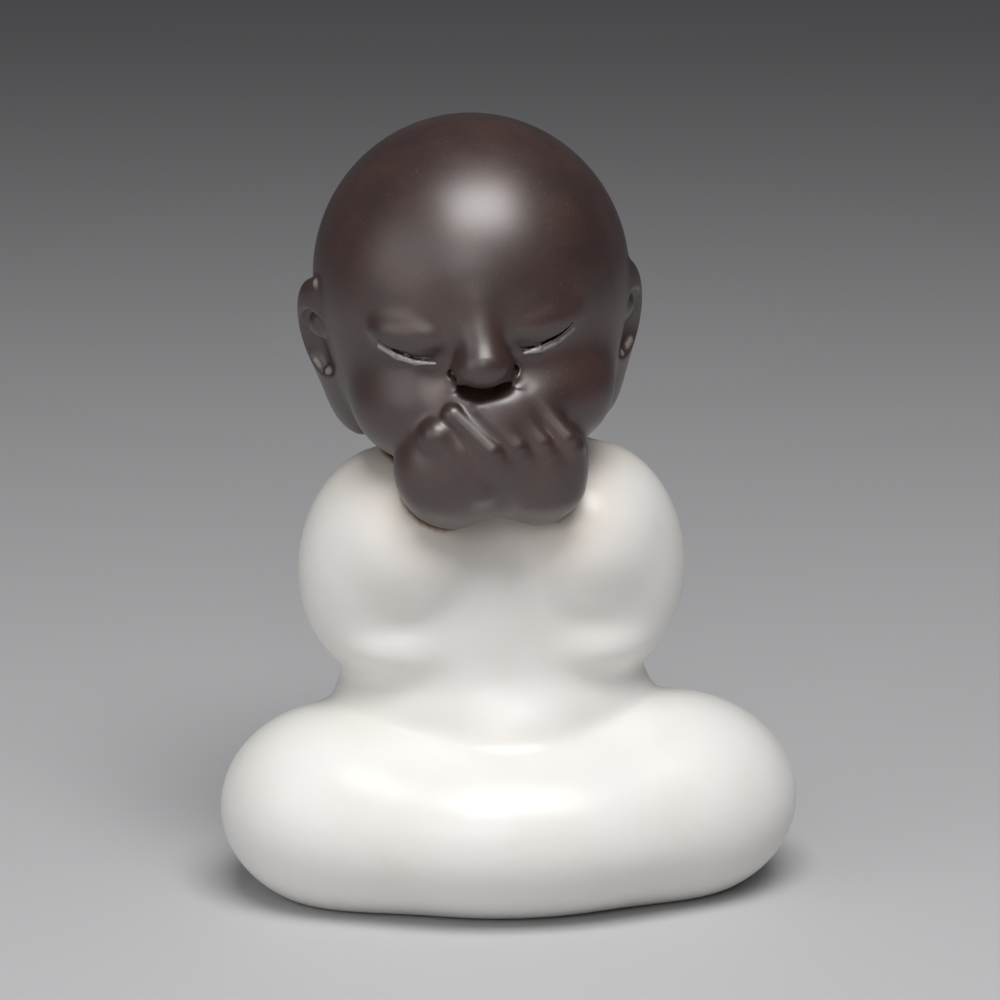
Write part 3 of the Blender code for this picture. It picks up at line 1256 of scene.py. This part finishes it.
@dataclass(frozen=True)
class PaleFloor(Finish):
    """The studio's plain pale floor."""

    colour: Colour = (0.54, 0.54, 0.55, 1.0)
    shade: Colour = (0.5, 0.5, 0.5, 1.0)
    shade_size: float = 60.0
    shade_strength: float = 0.1
    roughness: float = 0.7

    def make(self) -> bpy.types.Material:
        """Makes the material.

        Returns:
            The material.
        """
        material, graph = self.start("pale_floor")
        shade = self.noise(graph, self.shade_size, 2.0) * self.shade_strength
        colour = self.mixed(graph, shade, self.colour, self.shade)
        self.surface(graph, {"Base Color": colour, "Roughness": self.roughness})
        return material


@dataclass(frozen=True)
class SoftBox:
    """A large soft light: where it hangs, its width and depth in metres, and its power in watts."""

    name: str
    at: Triple
    size: tuple[float, float]
    power: float

    def hang(self, aim: Vector) -> None:
        """Hangs the light.

        Args:
            aim: the point that it faces.
        """
        light = bpy.data.lights.new(self.name, "AREA")
        light.shape = "RECTANGLE"
        light.size, light.size_y = self.size
        light.energy = self.power
        lamp = bpy.data.objects.new(self.name, light)
        lamp.location = self.at
        lamp.rotation_euler = (aim - Vector(self.at)).to_track_quat("-Z", "Y").to_euler()
        bpy.context.scene.collection.objects.link(lamp)


@dataclass
class Studio:
    """The plain floor, the soft light and the camera."""

    floor_radius: float = 3.0
    floor_drop: float = 0.00002
    floor_sides: int = 96
    light_aim: Triple = (0.0, 0.0, 0.03)
    ambient: Triple = (0.07, 0.07, 0.074)
    camera_at: Triple = (-0.0317, -0.28911, 0.0999)
    camera_down: float = 13.0
    camera_left: float = 6.0
    lens: float = 130.5
    sensor: float = 36.0
    clip_start: float = 0.01
    shift: float = 0.007
    boxes: tuple[SoftBox, ...] = (
        SoftBox("overhead", (0.02, -0.19, 0.39), (0.27, 0.20), 1.58),
        SoftBox("side_fill", (-0.40, -0.24, 0.20), (0.40, 0.34), 0.50),
        SoftBox("front_fill", (-0.09, -0.44, 0.25), (0.24, 0.16), 0.30),
    )

    def set_up(self) -> None:
        """Lays the floor, hangs the lights and places the camera."""
        self.lay_floor()
        for box in self.boxes:
            box.hang(Vector(self.light_aim))
        world = bpy.data.worlds.new("studio")
        world.use_nodes = True
        world.node_tree.nodes["Background"].inputs["Color"].default_value = (*self.ambient, 1.0)
        scene = bpy.context.scene
        scene.world = world
        scene.view_settings.view_transform = "Standard"
        scene.camera = self.place_camera()

    def lay_floor(self) -> None:
        """Lays a round floor just under the foot."""
        bpy.ops.object.select_all(action="DESELECT")
        sizes = {"vertices": self.floor_sides, "radius": self.floor_radius}
        bpy.ops.mesh.primitive_circle_add(**sizes, fill_type="NGON")
        floor = bpy.context.object
        floor.name = "floor"
        floor.location.z = -self.floor_drop
        bpy.ops.object.transform_apply(location=True)
        floor.data.materials.append(PaleFloor().make())

    def place_camera(self) -> bpy.types.Object:
        """Places the camera at the photograph's viewing angle.

        Returns:
            The camera.
        """
        lens = bpy.data.cameras.new("camera")
        lens.lens = self.lens
        lens.sensor_width = self.sensor
        lens.shift_x = self.shift
        lens.clip_start = self.clip_start
        camera = bpy.data.objects.new("camera", lens)
        camera.location = self.camera_at
        turn = (90.0 - self.camera_down, 0.0, -self.camera_left)
        camera.rotation_euler = Euler(map(math.radians, turn))
        bpy.context.scene.collection.objects.link(camera)
        return camera


def corners(solids: Sequence[bpy.types.Object]) -> tuple[Vector, Vector]:
    """The box round some mesh objects at the origin.

    Args:
        solids: the objects.

    Returns:
        Its lowest and highest corners.
    """
    points = [Vector(corner) for solid in solids for corner in solid.bound_box]
    return Vector(map(min, *points)), Vector(map(max, *points))


def fit(solids: Sequence[bpy.types.Object]) -> None:
    """Moves the pieces over their solids and shrinks them the little that keeps them in the solids' box.

    Args:
        solids: the modelled pieces, robe and head, still where their forms were laid out.
    """
    bpy.context.view_layer.update()
    low, high = corners(solids)
    boxes = [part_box(name) for name in ("robe", "head_and_hands")]
    wanted_low = Vector(map(min, *(box[0] for box in boxes)))
    wanted_high = Vector(map(max, *(box[1] for box in boxes)))
    room = [wanted / own for wanted, own in zip(wanted_high - wanted_low, high - low)]
    scale = min(1.0, *room)
    middle = (low + high) / 2
    wanted_middle = (wanted_low + wanted_high) / 2
    shift = wanted_middle - middle * scale
    shift.z = wanted_low.z - low.z * scale
    log.info("fitted pieces: scale %.4f, shift %s", scale, [round(axis * 1000, 3) for axis in shift])
    bpy.ops.object.select_all(action="DESELECT")
    for solid in solids:
        solid.location = shift
        solid.scale = (scale,) * 3
        solid.select_set(True)
    bpy.ops.object.transform_apply(location=True, rotation=True, scale=True)


def main() -> None:
    """Builds and dresses the figurine, then sets up the studio."""
    logging.basicConfig(level=logging.INFO, format="%(name)s: %(message)s")
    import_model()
    head = HeadAndHands()
    robe = Robe(head)
    finishes = {Slot.BARE_CLAY: BareClay(), Slot.WHITE_GLAZE: WhiteGlaze()}
    solids = []
    for sculpture in (robe, head):
        solid = sculpture.build()
        solid.data.materials.clear()
        solid.data.materials.append(finishes[sculpture.slot].make())
        solids.append(solid)
        log.info("%s: %d faces", solid.name, len(solid.data.polygons))
    fit(solids)
    for sculpture, solid in zip((robe, head), solids):
        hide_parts(sculpture.name)
        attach(solid, "root")
    Studio().set_up()


if __name__ == "__main__":
    main()
